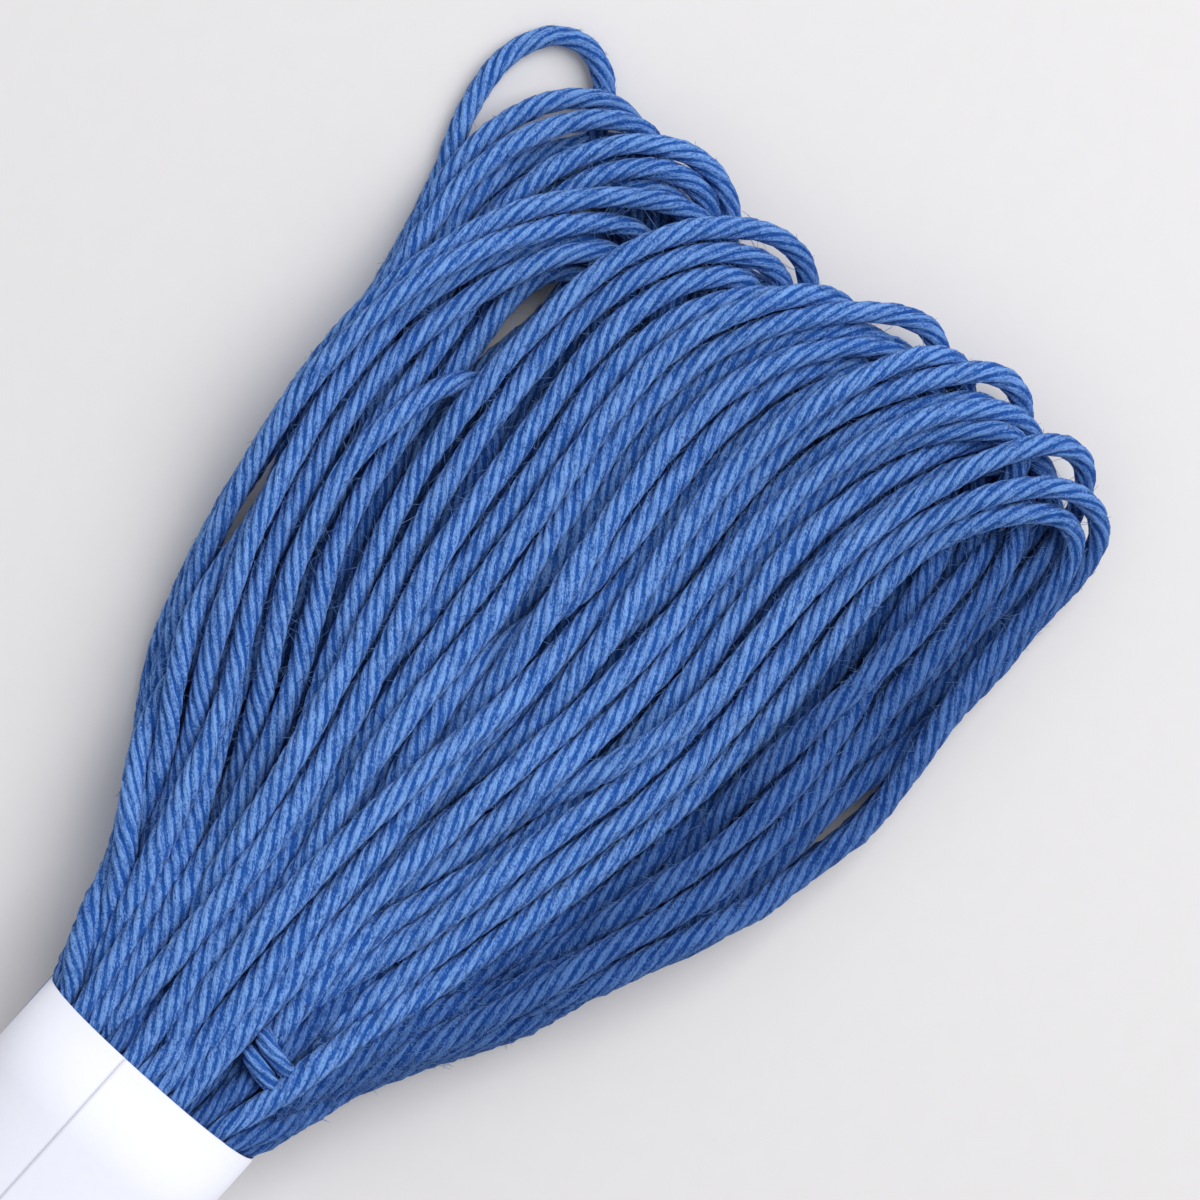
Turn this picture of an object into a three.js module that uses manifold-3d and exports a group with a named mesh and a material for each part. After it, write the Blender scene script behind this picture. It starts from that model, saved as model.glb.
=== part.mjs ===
// A hank of loosely twisted cotton thread, bound round its middle by a plain paper band.
// Both ends of the hank fan out flat, and a short thread tie lashes some of the strands beside the band.
// Millimetres, +Z up, X along the hank. It lies on the plane z = 0, its origin under the middle of its box.
import * as THREE from 'three';
import { mergeVertices } from 'three/addons/utils/BufferGeometryUtils.js';
import Module from 'manifold-3d';

const wasm = await Module();
wasm.setup();

// Driving sizes.
const THREAD = 0.95;
const CLEARANCE = 0.33;
const BAND = { length: 45, width: 11, height: 8.3, sheet: 1.0, squareness: 2.4, sides: 40 };
// The outer sheet of the band's lap: how far left of the middle its edge lies, how far round to the right it
// stands proud, and by how much.
const LAP = { edge: 1.0, reach: 6.5, step: 0.2 };
// Half the height of the fan's side wall.
const RIM = 0.25;
// The strand ridges on the crown. lean: how far they bend to the right at the tip, as a share of the half
// width, and leanPower how late they do. fadeIn: share of the length in which they rise. sideFade: squareness
// of their fading towards the sides.
const RIDGES = { count: 15, columnsEach: 3, relief: 0.4, lean: 0.2, leanPower: 4, fadeIn: 0.08, sideFade: 4 };
const LOOP_TUBE = { sides: 6, stepsPerPoint: 3 };
// The tie's round, seen along the hank: its four sides, and the gap between its two tucked ends.
const TIE = { along: 3.3, left: 2.5, right: 5.9, low: 1.3, high: 7.3, gap: 0.9, strands: 2, room: 0.45 };
const TIE_TUBE = { sides: 8, steps: 30, points: 12 };

// What the sleeve leaves for the thread inside it.
const WAIST_HALF = BAND.width / 2 - BAND.sheet - CLEARANCE;
const WAIST = {
  left: WAIST_HALF,
  right: WAIST_HALF,
  under: BAND.sheet + CLEARANCE,
  edge: BAND.height / 2,
  top: BAND.height - BAND.sheet - CLEARANCE,
  flat: 0,
};

// Sections of a fan, from the mouth of the band to the tip.
// along: distance from the mouth. left, right: half widths. under, edge, top: heights of the underside, of
// the side edge and of the crown. flat: share of the width that is flat underneath.
const FAN_SECTIONS = [
  { along: 0.35, ...WAIST },
  { along: 1.3, left: 5.3, right: 5.3, under: 1.4, edge: 4.2, top: 7.9, flat: 0.1 },
  { along: 3.2, left: 6.2, right: 5.9, under: 1.6, edge: 3.9, top: 8.1, flat: 0.2 },
  { along: 6.4, left: 7.7, right: 7.4, under: 1.1, edge: 2.7, top: 7.3, flat: 0.5 },
  { along: 10.5, left: 10.2, right: 10.2, under: 0, edge: 1.2, top: 6.3, flat: 0.8 },
  { along: 15.7, left: 12.5, right: 12.1, under: 0, edge: 0.8, top: 5.5, flat: 0.9 },
  { along: 21, left: 13.8, right: 13.8, under: 0, edge: 0.7, top: 4.9, flat: 0.95 },
  { along: 26, left: 14.4, right: 15.0, under: 0, edge: 0.7, top: 4.5, flat: 0.95 },
  { along: 31, left: 14.8, right: 15.0, under: 0, edge: 0.7, top: 4.2, flat: 0.95 },
  { along: 36, left: 15.4, right: 14.9, under: 0, edge: 0.7, top: 3.9, flat: 0.95 },
  { along: 42, left: 15.4, right: 15.1, under: 0, edge: 0.7, top: 2.6, flat: 0.95 },
];

// The tip line of the fan's body. across: share of the width, -1 on the left to 1 on the right.
const TIP_LINE = [
  { across: -1, along: 36.5 },
  { across: -0.9, along: 38.9 },
  { across: -0.75, along: 40.4 },
  { across: -0.4, along: 40.6 },
  { across: 0, along: 40.9 },
  { across: 0.3, along: 41.9 },
  { across: 0.6, along: 42.2 },
  { across: 0.85, along: 41.4 },
  { across: 0.95, along: 40.2 },
  { across: 1, along: 38.8 },
];

// Shares of each column's length at which the fan has a row of points.
const ROW_SHARES = [0, 0.03, 0.08, 0.155, 0.25, 0.37, 0.5, 0.62, 0.74, 0.85, 0.94, 1];

// Loops that stand out along the tip edge: each strand leaves the crown, rounds its crest and dives under the
// strands to its right. along and across give each point's place, and height the middle of the thread there.
const STANDING_LOOPS = [
  [
    { along: 32.5, across: -14.6, height: 1.6 },
    { along: 36.0, across: -15.2, height: 1.5 },
    { along: 39.6, across: -14.0, height: 1.4 },
    { along: 41.1, across: -11.6, height: 1.2 },
    { along: 40.6, across: -8.6, height: 0.9 },
  ],
  [
    { along: 34.0, across: -12.4, height: 3.4 },
    { along: 38.8, across: -11.4, height: 2.9 },
    { along: 41.6, across: -8.4, height: 2.2 },
    { along: 41.2, across: -5.4, height: 1.5 },
    { along: 39.6, across: -3.6, height: 0.9 },
  ],
  [
    { along: 33.0, across: -8.5, height: 4.1 },
    { along: 38.2, across: -7.0, height: 3.7 },
    { along: 41.6, across: -2.9, height: 2.4 },
    { along: 41.3, across: -0.6, height: 1.5 },
    { along: 39.6, across: 1.0, height: 0.9 },
  ],
  [
    { along: 34.6, across: -2.6, height: 4.2 },
    { along: 39.4, across: -0.7, height: 3.7 },
    { along: 42.8, across: 2.6, height: 2.4 },
    { along: 42.8, across: 4.7, height: 1.5 },
    { along: 41.0, across: 6.2, height: 0.9 },
  ],
  [
    { along: 36.4, across: 3.6, height: 4.2 },
    { along: 41.0, across: 5.3, height: 3.3 },
    { along: 43.5, across: 7.1, height: 2.3 },
    { along: 43.0, across: 8.7, height: 1.5 },
    { along: 41.2, across: 9.4, height: 0.9 },
  ],
  [
    { along: 36.6, across: 8.0, height: 4.0 },
    { along: 40.4, across: 9.3, height: 3.4 },
    { along: 43.1, across: 11.0, height: 2.4 },
    { along: 42.2, across: 12.5, height: 1.5 },
    { along: 40.4, across: 12.6, height: 0.9 },
  ],
  [
    { along: 35.4, across: 9.6, height: 4.0 },
    { along: 39.4, across: 10.6, height: 3.4 },
    { along: 41.5, across: 13.2, height: 2.2 },
    { along: 39.6, across: 14.7, height: 1.4 },
    { along: 36.0, across: 14.3, height: 0.9 },
  ],
];

// The lone loop that stands clear of the fan's left corner, flat on the surface.
const LONE_LOOP = [
  { along: 30.5, across: -14.0, height: 0.6 },
  { along: 35.3, across: -16.1, height: 0.5 },
  { along: 38.0, across: -16.9, height: 0.5 },
  { along: 40.4, across: -16.7, height: 0.5 },
  { along: 41.8, across: -15.0, height: 0.5 },
  { along: 41.5, across: -13.1, height: 0.5 },
  { along: 39.4, across: -11.4, height: 0.6 },
];

// Reads the named columns of a table at any place, smoothly between its rows.
function tableReader(rows, key, columns) {
  const places = rows.map((row) => row[key]);
  const values = rows.flatMap((row) => columns.map((column) => row[column]));
  const curve = new THREE.CubicInterpolant(places, values, columns.length);
  return (place) => {
    const read = curve.evaluate(place);
    return Object.fromEntries(columns.map((column, index) => [column, read[index]]));
  };
}

const sectionAt = tableReader(FAN_SECTIONS, 'along', ['left', 'right', 'under', 'edge', 'top', 'flat']);
const tipAt = tableReader(TIP_LINE, 'across', ['along']);

// The height share of a superellipse at a place across it.
function arch(across, squareness) {
  return Math.max(0, 1 - Math.abs(across) ** squareness) ** (1 / squareness);
}

// How far the underside has risen at a place across it: none on its flat, then a quarter round to the edge.
function turnUp(across, flat) {
  const past = Math.max(0, Math.abs(across) - flat) / (1 - flat);
  return 1 - Math.sqrt(1 - past ** 2);
}

// A rounded strand ridge, high in its middle and low where it meets the next one.
function ridge(column) {
  const place = (column % RIDGES.columnsEach) / RIDGES.columnsEach;
  return 1 - Math.abs(2 * place - 1) ** 2;
}

// One point of a fan on its crown and one below it on its underside.
function fanPoint(rowShare, column, columns) {
  const across = (2 * column) / columns - 1;
  const along = FAN_SECTIONS[0].along + rowShare * (tipAt(across).along - FAN_SECTIONS[0].along);
  const lean = RIDGES.lean * rowShare ** RIDGES.leanPower * (1 - across ** 2);
  const section = sectionAt(along);
  const y = THREE.MathUtils.lerp(section.left, -section.right, (across + lean + 1) / 2);
  const raised = Math.min(1, rowShare / RIDGES.fadeIn) * arch(across, RIDGES.sideFade);
  const relief = RIDGES.relief * raised * ridge(column);
  const rise = section.top - RIDGES.relief - section.edge - RIM;
  const crown = section.edge + RIM + rise * arch(across, BAND.squareness);
  const under = Math.max(0, section.under);
  const bottom = under + (section.edge - RIM - under) * turnUp(across, section.flat);
  const x = BAND.length / 2 + along;
  return { crown: [x, y, crown + relief], bottom: [x, y, bottom] };
}

// A solid between two grids of points, one above the other, closed by a wall round their rim.
function slab(rows) {
  const columns = rows[0].length;
  const corner = (layer, row, column) => (layer * rows.length + row) * columns + column;
  const layerPoints = (layer) => rows.flatMap((row) => row.flatMap((point) => point[layer]));
  const positions = [...layerPoints('crown'), ...layerPoints('bottom')];
  const faces = [];
  const quad = (a, b, c, d) => faces.push(a, c, b, a, d, c);
  const last = { row: rows.length - 1, column: columns - 1 };
  for (let r = 0; r < last.row; r += 1) {
    for (let c = 0; c < last.column; c += 1) {
      quad(corner(0, r, c), corner(0, r, c + 1), corner(0, r + 1, c + 1), corner(0, r + 1, c));
      quad(corner(1, r, c), corner(1, r + 1, c), corner(1, r + 1, c + 1), corner(1, r, c + 1));
    }
    quad(corner(0, r, 0), corner(0, r + 1, 0), corner(1, r + 1, 0), corner(1, r, 0));
    quad(
      corner(0, r, last.column),
      corner(1, r, last.column),
      corner(1, r + 1, last.column),
      corner(0, r + 1, last.column),
    );
  }
  for (let c = 0; c < last.column; c += 1) {
    quad(corner(0, 0, c), corner(1, 0, c), corner(1, 0, c + 1), corner(0, 0, c + 1));
    quad(
      corner(0, last.row, c),
      corner(0, last.row, c + 1),
      corner(1, last.row, c + 1),
      corner(1, last.row, c),
    );
  }
  const geometry = new THREE.BufferGeometry();
  geometry.setAttribute('position', new THREE.Float32BufferAttribute(positions, 3));
  geometry.setIndex(faces);
  return geometry;
}

// The wound form: a fan at each end and the waist between them, in one run of rows from tip to tip.
function hankBody() {
  const columns = RIDGES.count * RIDGES.columnsEach;
  const frontRow = (share) => Array.from({ length: columns + 1 }, (unused, c) => fanPoint(share, c, columns));
  const halfTurn = ([x, y, z]) => [-x, -y, z];
  const backRow = (share) =>
    frontRow(share)
      .map((point) => ({ crown: halfTurn(point.crown), bottom: halfTurn(point.bottom) }))
      .reverse();
  return slab([...ROW_SHARES.map(frontRow).reverse(), ...ROW_SHARES.map(backRow)]);
}

// A place in a fan's own terms as a point of the part.
function fanPlace({ along, across, height }) {
  return new THREE.Vector3(BAND.length / 2 + along, -across, height);
}

// A round or wide section, as wide as so many threads side by side.
function threadSection(diameter, strands, sides) {
  const shape = new THREE.Shape();
  const reach = ((strands - 1) * THREAD) / 2;
  const points = Array.from({ length: sides }, (unused, index) => {
    const angle = ((index + 0.5) * 2 * Math.PI) / sides;
    const round = new THREE.Vector2(Math.cos(angle), Math.sin(angle)).multiplyScalar(diameter / 2);
    round.x += Math.sign(round.x) * reach;
    return round;
  });
  return shape.setFromPoints(points);
}

// A thread along a smooth path through some points.
function threadAlong(points, diameter, strands, sides, steps) {
  const extrudePath = new THREE.CatmullRomCurve3(points, false, 'centripetal');
  return new THREE.ExtrudeGeometry(threadSection(diameter, strands, sides), { steps, extrudePath });
}

// A loop of one thread, from its row of places.
function loopTube(places) {
  const steps = (places.length - 1) * LOOP_TUBE.stepsPerPoint;
  return threadAlong(places.map(fanPlace), THREAD, 1, LOOP_TUBE.sides, steps);
}

// The tie's round from one tucked end to the other: up out of the strands, over the right-hand ones and back
// under them, as two half circles with straight sides between.
function tieRound() {
  const radius = (TIE.right - TIE.left) / 2;
  const straight = (TIE.high - TIE.low) / 2 - radius;
  const middle = { across: (TIE.left + TIE.right) / 2, height: (TIE.low + TIE.high) / 2 };
  const place = (across, height) => fanPlace({ along: TIE.along, across, height });
  const round = Array.from({ length: TIE_TUBE.points }, (unused, index) => {
    const angle = ((index + 0.5) * 2 * Math.PI) / TIE_TUBE.points;
    const side = Math.sign(Math.sin(angle)) * straight;
    return place(middle.across - radius * Math.cos(angle), middle.height + side + radius * Math.sin(angle));
  });
  const tucked = [TIE.gap / 2, -TIE.gap / 2].map((rise) => place(TIE.left, middle.height + rise));
  return [tucked[0], ...round, tucked[1]];
}

// The tie's strands along some points of its round, with room about them where the hank is cut for it.
function tieTube(points, room) {
  return threadAlong(points, THREAD + 2 * room, TIE.strands, TIE_TUBE.sides, TIE_TUBE.steps);
}

// The way that the hank leaves for the tie: its round, and a bridge past its two tucked ends.
function tieChannel() {
  const round = tieRound();
  const bridge = [...round.slice(-2), ...round.slice(0, 2)];
  return toSolid(tieTube(round, TIE.room)).add(toSolid(tieTube(bridge, TIE.room)));
}

function toSolid(geometry) {
  const bare = geometry.clone();
  bare.deleteAttribute('normal');
  bare.deleteAttribute('uv');
  const merged = mergeVertices(bare, 1e-4);
  const vertProperties = new Float32Array(merged.attributes.position.array);
  const triVerts = new Uint32Array(merged.index.array);
  return new wasm.Manifold(new wasm.Mesh({ numProp: 3, vertProperties, triVerts }));
}

function toGeometry(solid) {
  const mesh = solid.getMesh();
  const geometry = new THREE.BufferGeometry();
  geometry.setAttribute('position', new THREE.Float32BufferAttribute(mesh.vertProperties, 3));
  geometry.setIndex([...mesh.triVerts]);
  geometry.computeVertexNormals();
  return geometry;
}

// The body with the loops of both tip edges joined to it and a channel for the tie, as one outer skin.
function hank() {
  const turned = (geometry) => geometry.clone().rotateZ(Math.PI);
  const standing = STANDING_LOOPS.map(loopTube);
  const loops = [loopTube(LONE_LOOP), ...standing, ...standing.map(turned)];
  const wound = loops.reduce((solid, loop) => solid.add(toSolid(loop)), toSolid(hankBody()));
  const pieces = wound.subtract(tieChannel()).decompose();
  const outer = pieces.reduce((best, piece) => (piece.volume() > best.volume() ? piece : best));
  return toGeometry(outer);
}

// How far the lap's outer sheet stands proud at a point of the sleeve's outline: most at its edge, fading
// away round to the right.
function lapRise(point) {
  const past = LAP.edge - point.x;
  const lapped = past >= 0 && point.y > BAND.height / 2;
  return lapped ? LAP.step * Math.max(0, 1 - past / LAP.reach) : 0;
}

// One side of the sleeve's wall as an outline across the hank, a superellipse drawn in by an inset.
function bandOutline(inset) {
  const power = 2 / BAND.squareness;
  const stretch = (value, half) => Math.sign(value) * Math.abs(value) ** power * (half - inset);
  return Array.from({ length: BAND.sides }, (unused, index) => {
    const angle = Math.PI / 2 + (index * 2 * Math.PI) / BAND.sides;
    const across = stretch(Math.cos(angle), BAND.width / 2);
    const height = BAND.height / 2 + stretch(Math.sin(angle), BAND.height / 2);
    return new THREE.Vector2(across, height);
  });
}

// The paper sleeve, extruded along the hank with its lap on top.
function paperBand() {
  const outside = bandOutline(0).map((point) => new THREE.Vector2(point.x, point.y + lapRise(point)));
  const shape = new THREE.Shape(outside);
  shape.holes.push(new THREE.Path(bandOutline(BAND.sheet)));
  const geometry = new THREE.ExtrudeGeometry(shape, { depth: BAND.length, bevelEnabled: false, steps: 1 });
  geometry.translate(0, 0, -BAND.length / 2);
  geometry.rotateX(Math.PI / 2);
  geometry.rotateZ(Math.PI / 2);
  return geometry;
}

const thread = new THREE.MeshStandardMaterial({ color: 0x4466a2, roughness: 0.9, metalness: 0 });
const paper = new THREE.MeshStandardMaterial({ color: 0xf3f4fb, roughness: 0.75, metalness: 0 });

function piece(name, geometry, material) {
  const mesh = new THREE.Mesh(geometry, material);
  mesh.name = name;
  return mesh;
}

const skein = new THREE.Group();
skein.add(piece('hank', hank(), thread));
skein.add(piece('paper_band', paperBand(), paper));
skein.add(piece('tie', tieTube(tieRound(), 0), thread));

// The origin goes under the middle of the whole skein's box.
const box = new THREE.Box3().setFromObject(skein);
const middle = box.getCenter(new THREE.Vector3());
skein.position.set(-middle.x, -middle.y, -box.min.z);

export default skein;
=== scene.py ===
"""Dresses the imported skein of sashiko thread: its wound strands, paper band, thread tie, fuzz and stage."""

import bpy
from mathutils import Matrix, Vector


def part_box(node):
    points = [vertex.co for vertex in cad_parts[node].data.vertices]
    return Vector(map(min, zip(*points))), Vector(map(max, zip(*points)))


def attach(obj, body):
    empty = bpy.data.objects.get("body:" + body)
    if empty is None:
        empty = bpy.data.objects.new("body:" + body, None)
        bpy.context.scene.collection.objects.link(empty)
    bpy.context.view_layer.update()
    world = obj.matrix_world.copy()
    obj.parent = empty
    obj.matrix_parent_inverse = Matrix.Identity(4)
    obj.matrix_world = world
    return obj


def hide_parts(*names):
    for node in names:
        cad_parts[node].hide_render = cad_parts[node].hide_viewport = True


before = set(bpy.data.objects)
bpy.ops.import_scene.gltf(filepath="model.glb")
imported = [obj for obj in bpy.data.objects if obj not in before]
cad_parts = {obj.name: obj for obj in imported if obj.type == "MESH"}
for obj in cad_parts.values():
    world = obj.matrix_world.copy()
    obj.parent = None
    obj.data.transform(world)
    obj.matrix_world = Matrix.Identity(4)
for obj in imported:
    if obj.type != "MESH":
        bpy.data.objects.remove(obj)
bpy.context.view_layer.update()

import functools
import math

import bpy
import numpy as np
from bpy.props import FloatProperty, FloatVectorProperty, IntProperty, PointerProperty

bl_info = {
    "name": "Skein of sashiko thread",
    "version": (1, 0, 0),
    "blender": (4, 5, 0),
    "location": "View3D > Sidebar > Skein",
    "description": "Lays the strands, paper band, tie and fuzz of a thread skein round its frame",
    "category": "Add Mesh",
}

# Everything below is worked out in millimetres, and a mesh is put into metres as it is made.
MM = 0.001
BAND_LOW, BAND_HIGH = (np.array(corner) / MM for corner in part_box("paper_band"))
TIE_LOW, TIE_HIGH = (np.array(corner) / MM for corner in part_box("tie"))
MOUTH = BAND_HIGH[0]
MIDLINE = (BAND_LOW[1] + BAND_HIGH[1]) / 2
BAND_MIDDLE = (BAND_LOW[2] + BAND_HIGH[2]) / 2

# Points of a curve before it is spaced evenly: for each one kept, and round a superellipse.
FINER = 8
FINE_ROUND = 2001

# Powers of the superellipses that are the sections of the band and of a fan.
BAND_SQUARENESS = 2.4
FAN_SQUARENESS = 3

# Seeds of each fan's winding, twist and fibres, and how far its crown strays from the places below.
ENDS = ("front", "back")
SEEDS = {
    "front": {"winding": 11, "twist": 5, "fibres": 71},
    "back": {"winding": 29, "twist": 6, "fibres": 72},
}
LOOSENESS = {"front": 0.0, "back": 0.35}

# Half widths of the fan left and right of its midline, and its height, at distances from the mouth.
FAN_ALONG = np.array([0, 1.3, 3.2, 6.4, 10.5, 15.7, 21, 26, 31, 36, 44])
FAN_LEFT = np.array([5.15, 5.5, 6.05, 7.35, 9.85, 12.1, 13.35, 14.0, 14.25, 14.9, 15.0])
FAN_RIGHT = np.array([5.15, 5.35, 5.95, 6.8, 9.45, 11.6, 13.8, 14.85, 14.7, 14.4, 14.7])
FAN_TOP = np.array([7.9, 7.9, 8.0, 7.3, 6.3, 5.5, 4.9, 4.5, 4.2, 3.9, 3.0])

# How far the tip edge reaches along, at places across.
TIP_ACROSS = np.array([-16, -12, -5, 0, 4.5, 8.5, 12, 15])
TIP_ALONG = np.array([41, 41.2, 41, 41.4, 42.8, 43.2, 42.6, 40])

# Loops of the crown from left to right. Each row has four places, as along and across:
# where the out leg starts to bend, its shoulder, its crest, and where it dives under its right neighbours.
CROWN_LOOPS = np.array([
    [[34.0, -15.4], [38.3, -17.0], [41.7, -15.9], [41.4, -12.8]],
    [[30.5, -14.3], [35.2, -15.4], [39.6, -13.9], [41.2, -10.5]],
    [[31.0, -13.8], [35.0, -14.6], [39.2, -12.8], [41.1, -9.6]],
    [[32.0, -13.6], [35.5, -13.8], [38.9, -11.9], [40.9, -9.0]],
    [[33.0, -12.2], [37.6, -12.0], [41.2, -9.0], [40.8, -5.5]],
    [[31.5, -11.6], [36.3, -11.6], [39.6, -9.6], [40.7, -6.2]],
    [[29.5, -12.2], [34.5, -12.4], [38.1, -10.2], [40.0, -6.1]],
    [[27.5, -14.0], [33.5, -12.7], [37.6, -9.8], [39.8, -5.4]],
    [[26.7, -13.8], [32.3, -12.6], [36.3, -9.8], [38.1, -7.1]],
    [[26.0, -13.2], [31.7, -12.1], [35.5, -9.6], [36.6, -6.8]],
    [[25.6, -12.0], [31.8, -11.1], [35.2, -9.3], [36.6, -6.2]],
    [[22.0, -10.4], [26.0, -10.1], [28.6, -9.2], [28.8, -7.6]],
    [[22.0, -9.2], [28.0, -9.6], [33.4, -9.8], [35.2, -7.4]],
    [[30.0, -8.3], [35.6, -8.1], [39.8, -5.6], [41.6, -1.6]],
    [[29.9, -7.5], [35.0, -7.3], [38.8, -5.3], [40.8, -2.4]],
    [[30.2, -5.5], [33.6, -6.1], [37.2, -5.2], [39.4, -2.4]],
    [[31.0, -4.8], [35.0, -4.8], [38.4, -3.1], [40.4, 0.0]],
    [[31.0, -4.0], [35.0, -4.0], [39.0, -1.9], [41.4, 1.0]],
    [[32.0, -3.2], [37.2, -2.1], [40.6, 0.5], [42.9, 4.4]],
    [[32.5, -2.3], [37.4, -1.3], [40.3, 1.1], [41.2, 3.6]],
    [[32.5, -1.1], [37.0, -0.6], [39.9, 1.6], [40.9, 4.2]],
    [[32.5, -0.5], [37.0, 0.4], [39.7, 2.4], [40.8, 4.8]],
    [[33.0, 0.5], [37.0, 1.3], [40.0, 3.0], [41.3, 5.4]],
    [[33.5, 1.1], [38.0, 2.3], [41.3, 3.9], [42.7, 6.2]],
    [[34.5, 1.9], [39.2, 3.6], [43.1, 6.3], [43.2, 8.5]],
    [[33.5, 2.9], [38.8, 4.4], [41.3, 6.4], [42.3, 9.0]],
    [[33.0, 3.5], [38.5, 5.0], [41.0, 7.0], [42.5, 9.6]],
    [[33.0, 4.4], [38.6, 5.8], [40.9, 7.5], [42.1, 9.9]],
    [[33.0, 5.2], [38.4, 6.7], [40.8, 8.0], [41.6, 10.2]],
    [[34.5, 6.2], [38.2, 7.2], [40.3, 8.6], [40.9, 10.6]],
    [[30.0, 6.4], [37.0, 7.5], [43.0, 10.6], [42.8, 12.4]],
    [[29.0, 7.8], [36.0, 8.2], [41.4, 12.2], [41.1, 14.4]],
    [[29.0, 9.3], [36.0, 8.9], [41.2, 12.4], [40.5, 13.8]],
])


def length_setting(name, description, default):
    """A length that a user may change."""
    return FloatProperty(name=name, description=description, default=default, unit="LENGTH")


def share_setting(name, description, default):
    """A share that a user may change."""
    return FloatProperty(name=name, description=description, default=default, subtype="FACTOR")


def count_setting(name, description, default):
    """A number of things that a user may change."""
    return IntProperty(name=name, description=description, default=default, subtype="UNSIGNED")


def colour_setting(name, description, default):
    """A colour that a user may change."""
    return FloatVectorProperty(name=name, description=description, default=default, subtype="COLOR")


class SkeinThread(bpy.types.PropertyGroup):
    """Sizes of the plied thread and of the way it is wound."""

    diameter: length_setting("Diameter", "Thickness of the loose thread", 0.0009)
    squeezed: share_setting("Squeezed", "Share of its thickness that the band leaves it", 0.82)
    plies: count_setting("Plies", "Number of plies twisted together", 6)
    pitch: length_setting("Pitch", "Length of one full turn of the plies", 0.0053)
    flatness: share_setting("Flatness", "Share of its width that a strand gains when pressed flat", 0.17)
    groove: share_setting("Groove", "Depth of the groove between plies, as a share of the radius", 0.22)
    core_loops: count_setting("Core loops", "Loops hidden in the middle of the fan", 9)
    base_loops: count_setting("Base loops", "Loops that lie on the table", 11)
    room: share_setting("Room", "Radius that a strand of the crown keeps free round it, over its own", 1.34)
    fibres: count_setting("Fibres", "Loose fibres that stand out of each fan", 10000)
    fibre_length: length_setting("Fibre length", "Mean length of a loose fibre", 0.00045)


class SkeinPaper(bpy.types.PropertyGroup):
    """Sizes of the paper band."""

    thickness: length_setting("Thickness", "Thickness of the paper", 0.00009)
    lap_edge: length_setting("Lap edge", "Place of the lap's edge, left of the midline", 0.001)
    lap_reach: length_setting("Lap reach", "Length of paper under the lap", 0.0055)


class SkeinColours(bpy.types.PropertyGroup):
    """Colours of the thread, paper and floor."""

    cotton: colour_setting("Cotton", "Colour on the crown of a ply", (0.207, 0.396, 0.815))
    # The deep end of the cotton's mix: darker fibres, and painted shade in the grooves and under other
    # strands.
    cotton_deep_and_shade: colour_setting("Deep cotton and shade", "Colour between the plies", (0.017, 0.092, 0.38))
    cotton_shaded: colour_setting("Shaded cotton", "Tint in the shade of other strands", (0.36, 0.42, 0.52))
    paper: colour_setting("Paper", "Colour of the band", (0.84, 0.85, 0.94))
    floor: colour_setting("Floor", "Colour of the floor", (0.74, 0.722, 0.722))


class SkeinStage(bpy.types.PropertyGroup):
    """Camera and light."""

    view_along: length_setting("View along", "Middle of the view, along from the mouth", 0.0258)
    view_across: length_setting("View across", "Middle of the view, across the midline", 0.0008)
    view_width: length_setting("View width", "Width of what the camera sees", 0.048)
    height: length_setting("Height", "Height of the camera over the skein", 0.21)
    roll: FloatProperty(
        name="Roll",
        description="Turn of the skein in the picture",
        default=math.radians(48),
        subtype="ANGLE",
    )
    key: FloatProperty(name="Key", description="Power of the key light", default=1.5, unit="POWER")
    sky: share_setting("Sky", "Strength of the light from all round", 0.55)


class SkeinSettings(bpy.types.PropertyGroup):
    """All settings of the skein."""

    thread: PointerProperty(type=SkeinThread)
    paper: PointerProperty(type=SkeinPaper)
    colours: PointerProperty(type=SkeinColours)
    stage: PointerProperty(type=SkeinStage)


def settings():
    """The skein's settings on the scene."""
    return bpy.context.scene.skein


def ramp(value):
    """A smooth step: 0 below 0, 1 above 1, and three squares less two cubes between."""
    share = np.clip(value, 0, 1)
    return share * share * (3 - 2 * share)


def arch(share, power):
    """Height of a superellipse at a share of its half width: the root of one less that share's power."""
    return (1 - np.abs(share) ** power) ** (1 / power)


def unit(vectors):
    """Vectors of length one."""
    return vectors / np.linalg.norm(vectors, axis=-1, keepdims=True)


def run_along(places):
    """Length along a line of places, from its start to each of them."""
    return np.concatenate([[0], np.cumsum(np.linalg.norm(np.diff(places, axis=0), axis=1))])


def evenly(places, count):
    """A number of places evenly spaced along a line of places, and the length from its start to each."""
    run = run_along(places)
    even = np.linspace(0, run[-1], count)
    return np.stack([np.interp(even, run, column) for column in places.T], axis=1), even


def curve_through(knots, values, at):
    """A cubic through the values at the knots, whose slopes are those of its neighbours' chords."""
    slopes = np.gradient(values, knots, axis=0)
    cell = np.clip(np.searchsorted(knots, at) - 1, 0, len(knots) - 2)
    width = knots[cell + 1] - knots[cell]
    share = (at - knots[cell]) / width
    if values.ndim > 1:
        share, width = share[:, None], width[:, None]
    left = 1 - share
    start = (1 + 2 * share) * left**2 * values[cell] + share * left**2 * width * slopes[cell]
    end = share**2 * (3 - 2 * share) * values[cell + 1] + share**2 * (share - 1) * width * slopes[cell + 1]
    return start + end


def even_path(places, count):
    """Evenly spaced points of a cubic through places, its knots the roots of their chords apart."""
    chords = np.linalg.norm(np.diff(places, axis=0), axis=1) ** 0.5
    knots = np.concatenate([[0], np.cumsum(chords)])
    return evenly(curve_through(knots, places, np.linspace(0, knots[-1], FINER * count)), count)[0]


def superellipse(half_width, half_height, squareness, count):
    """Evenly spaced places of a superellipse from its top to the right and round, and the length to each.

    A place is the half width and half height times the sine and cosine to two over the squareness.
    """
    turn = np.linspace(0, 2 * math.pi, FINE_ROUND)
    wave = np.stack([np.sin(turn), np.cos(turn)], axis=1)
    return evenly(np.sign(wave) * np.abs(wave) ** (2 / squareness) * [half_width, half_height], count)


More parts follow.
